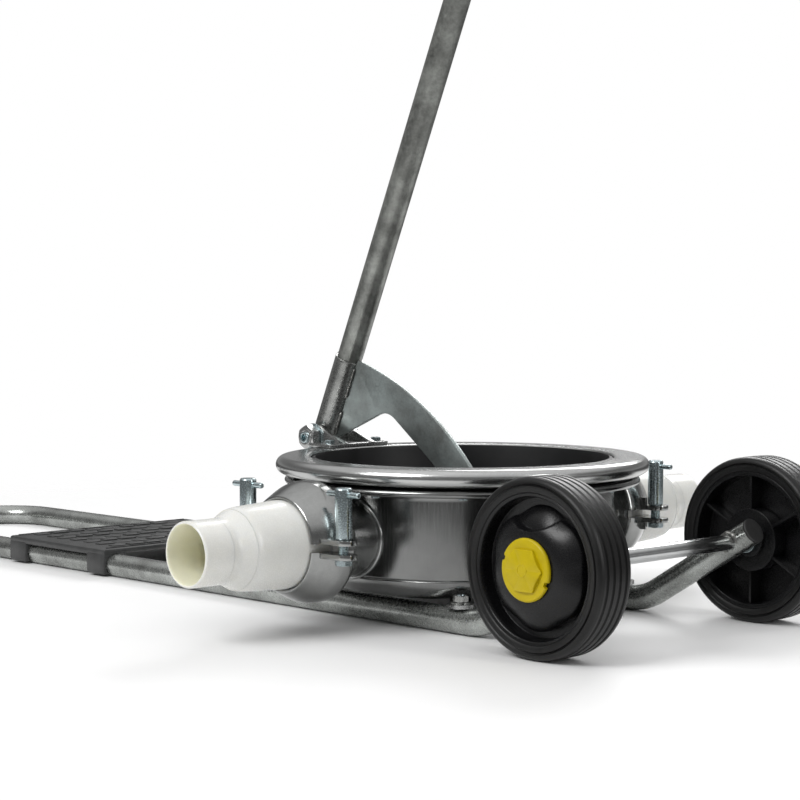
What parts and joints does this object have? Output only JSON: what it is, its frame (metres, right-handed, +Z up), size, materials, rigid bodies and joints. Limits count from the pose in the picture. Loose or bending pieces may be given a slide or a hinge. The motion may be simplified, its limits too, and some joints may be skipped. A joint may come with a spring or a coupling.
{
  "type": "hand diaphragm pump",
  "caption": "Hand-lever diaphragm pump with a round steel drum, two hose tails and a foot pad, on a two-wheeled tubular trolley.",
  "frame": {"origin": "on the ground, at the middle of the whole object's box", "axes": "+Z up, +X from the foot pad towards the wheels, +Y from the inlet towards the outlet"},
  "size_m": [1.3274, 0.7, 1.2144],
  "materials": {
    "frame_steel": "galvanised, dull",
    "bright_steel": "bright drawn bar",
    "stainless": "polished stainless sheet",
    "clamp_steel": "tumbled casting",
    "zinc": "blue zinc plate",
    "arm_steel": "zinc-coated plate",
    "pole_steel": "galvanised tube, mottled",
    "rubber": "moulded, matt",
    "tyre": "ribbed tread",
    "hub_plastic": "moulded",
    "plug_plastic": "moulded",
    "cap_yellow": "moulded, satin",
    "nylon": "moulded, slightly translucent"
  },
  "bodies": {
    "chassis": {"frame_tube": "frame_steel", "rail_plugs": "plug_plastic", "axle": "bright_steel", "axle_spacers": "zinc", "axle_clips": "zinc", "foot_pad": "rubber", "drum_lugs": "stainless", "lug_bolts": "zinc", "lug_nuts": "zinc", "drum": "stainless", "rim_ring": "stainless", "rim_screws": "zinc", "diaphragm": "rubber", "hinge_bracket": "stainless", "bracket_screws": "zinc", "hinge_bolt": "zinc", "hinge_nut": "zinc", "hinge_washers": "zinc", "inlet_neck": "stainless", "outlet_neck": "stainless", "inlet_seal": "rubber", "outlet_seal": "rubber", "inlet_valve_seat": "nylon", "outlet_valve_seat": "nylon", "flap_pins": "zinc", "inlet_hose_tail": "nylon", "outlet_hose_tail": "nylon", "inlet_clamp_upper": "clamp_steel", "inlet_clamp_lower": "clamp_steel", "outlet_clamp_upper": "clamp_steel", "outlet_clamp_lower": "clamp_steel", "clamp_studs": "zinc"},
    "lever": {"lever_socket": "pole_steel", "lever_arm": "arm_steel", "hinge_sleeve": "pole_steel", "arm_foot": "arm_steel", "pressure_disc": "stainless", "backing_disc": "stainless", "disc_bolts": "zinc"},
    "pole": {"pole": "pole_steel", "pole_cap": "plug_plastic"},
    "right_wheel": {"right_wheel_hub": "hub_plastic", "right_tyre": "tyre", "right_hub_cap": "cap_yellow"},
    "left_wheel": {"left_wheel_hub": "hub_plastic", "left_tyre": "tyre", "left_hub_cap": "cap_yellow"},
    "inlet_front_t_nut": {"inlet_t_nut_front": "zinc", "inlet_t_bar_front": "zinc"},
    "inlet_rear_t_nut": {"inlet_t_nut_rear": "zinc", "inlet_t_bar_rear": "zinc"},
    "outlet_front_t_nut": {"outlet_t_nut_front": "zinc", "outlet_t_bar_front": "zinc"},
    "outlet_rear_t_nut": {"outlet_t_nut_rear": "zinc", "outlet_t_bar_rear": "zinc"},
    "inlet_valve": {"inlet_flap": "rubber", "inlet_flap_weight": "stainless"},
    "outlet_valve": {"outlet_flap": "rubber", "outlet_flap_weight": "stainless"}
  },
  "joints": [
    {"name": "lever_pivot", "type": "hinge", "parent": "chassis", "child": "lever", "pos_m": [0.12875, 0, 0.164], "axis": [0, 1, 0], "range_deg": [-12, 9], "deforming": ["diaphragm"]},
    {"name": "pole_pull", "type": "slide", "parent": "lever", "child": "pole", "axis": [0.4051, 0, 0.9143], "range_m": [0, 0.1]},
    {"name": "right_wheel_spin", "type": "hinge", "parent": "chassis", "child": "right_wheel", "pos_m": [0.58375, -0.153, 0.08], "axis": [0, 1, 0], "continuous": true},
    {"name": "left_wheel_spin", "type": "hinge", "parent": "chassis", "child": "left_wheel", "pos_m": [0.58375, 0.153, 0.08], "axis": [0, 1, 0], "continuous": true},
    {"name": "inlet_front_t_nut_turn", "type": "hinge", "parent": "chassis", "child": "inlet_front_t_nut", "pos_m": [0.39675, -0.222, 0.12], "axis": [0, 0, 1], "range_deg": [0, 1080]},
    {"name": "inlet_rear_t_nut_turn", "type": "hinge", "parent": "chassis", "child": "inlet_rear_t_nut", "pos_m": [0.26075, -0.222, 0.12], "axis": [0, 0, 1], "range_deg": [0, 1080]},
    {"name": "outlet_front_t_nut_turn", "type": "hinge", "parent": "chassis", "child": "outlet_front_t_nut", "pos_m": [0.39675, 0.222, 0.12], "axis": [0, 0, 1], "range_deg": [0, 1080]},
    {"name": "outlet_rear_t_nut_turn", "type": "hinge", "parent": "chassis", "child": "outlet_rear_t_nut", "pos_m": [0.26075, 0.222, 0.12], "axis": [0, 0, 1], "range_deg": [0, 1080]},
    {"name": "inlet_valve_swing", "type": "hinge", "parent": "chassis", "child": "inlet_valve", "pos_m": [0.32875, -0.2022, 0.114], "axis": [1, 0, 0], "range_deg": [0, 45]},
    {"name": "outlet_valve_swing", "type": "hinge", "parent": "chassis", "child": "outlet_valve", "pos_m": [0.32875, 0.2118, 0.114], "axis": [1, 0, 0], "range_deg": [0, 45]}
  ]
}
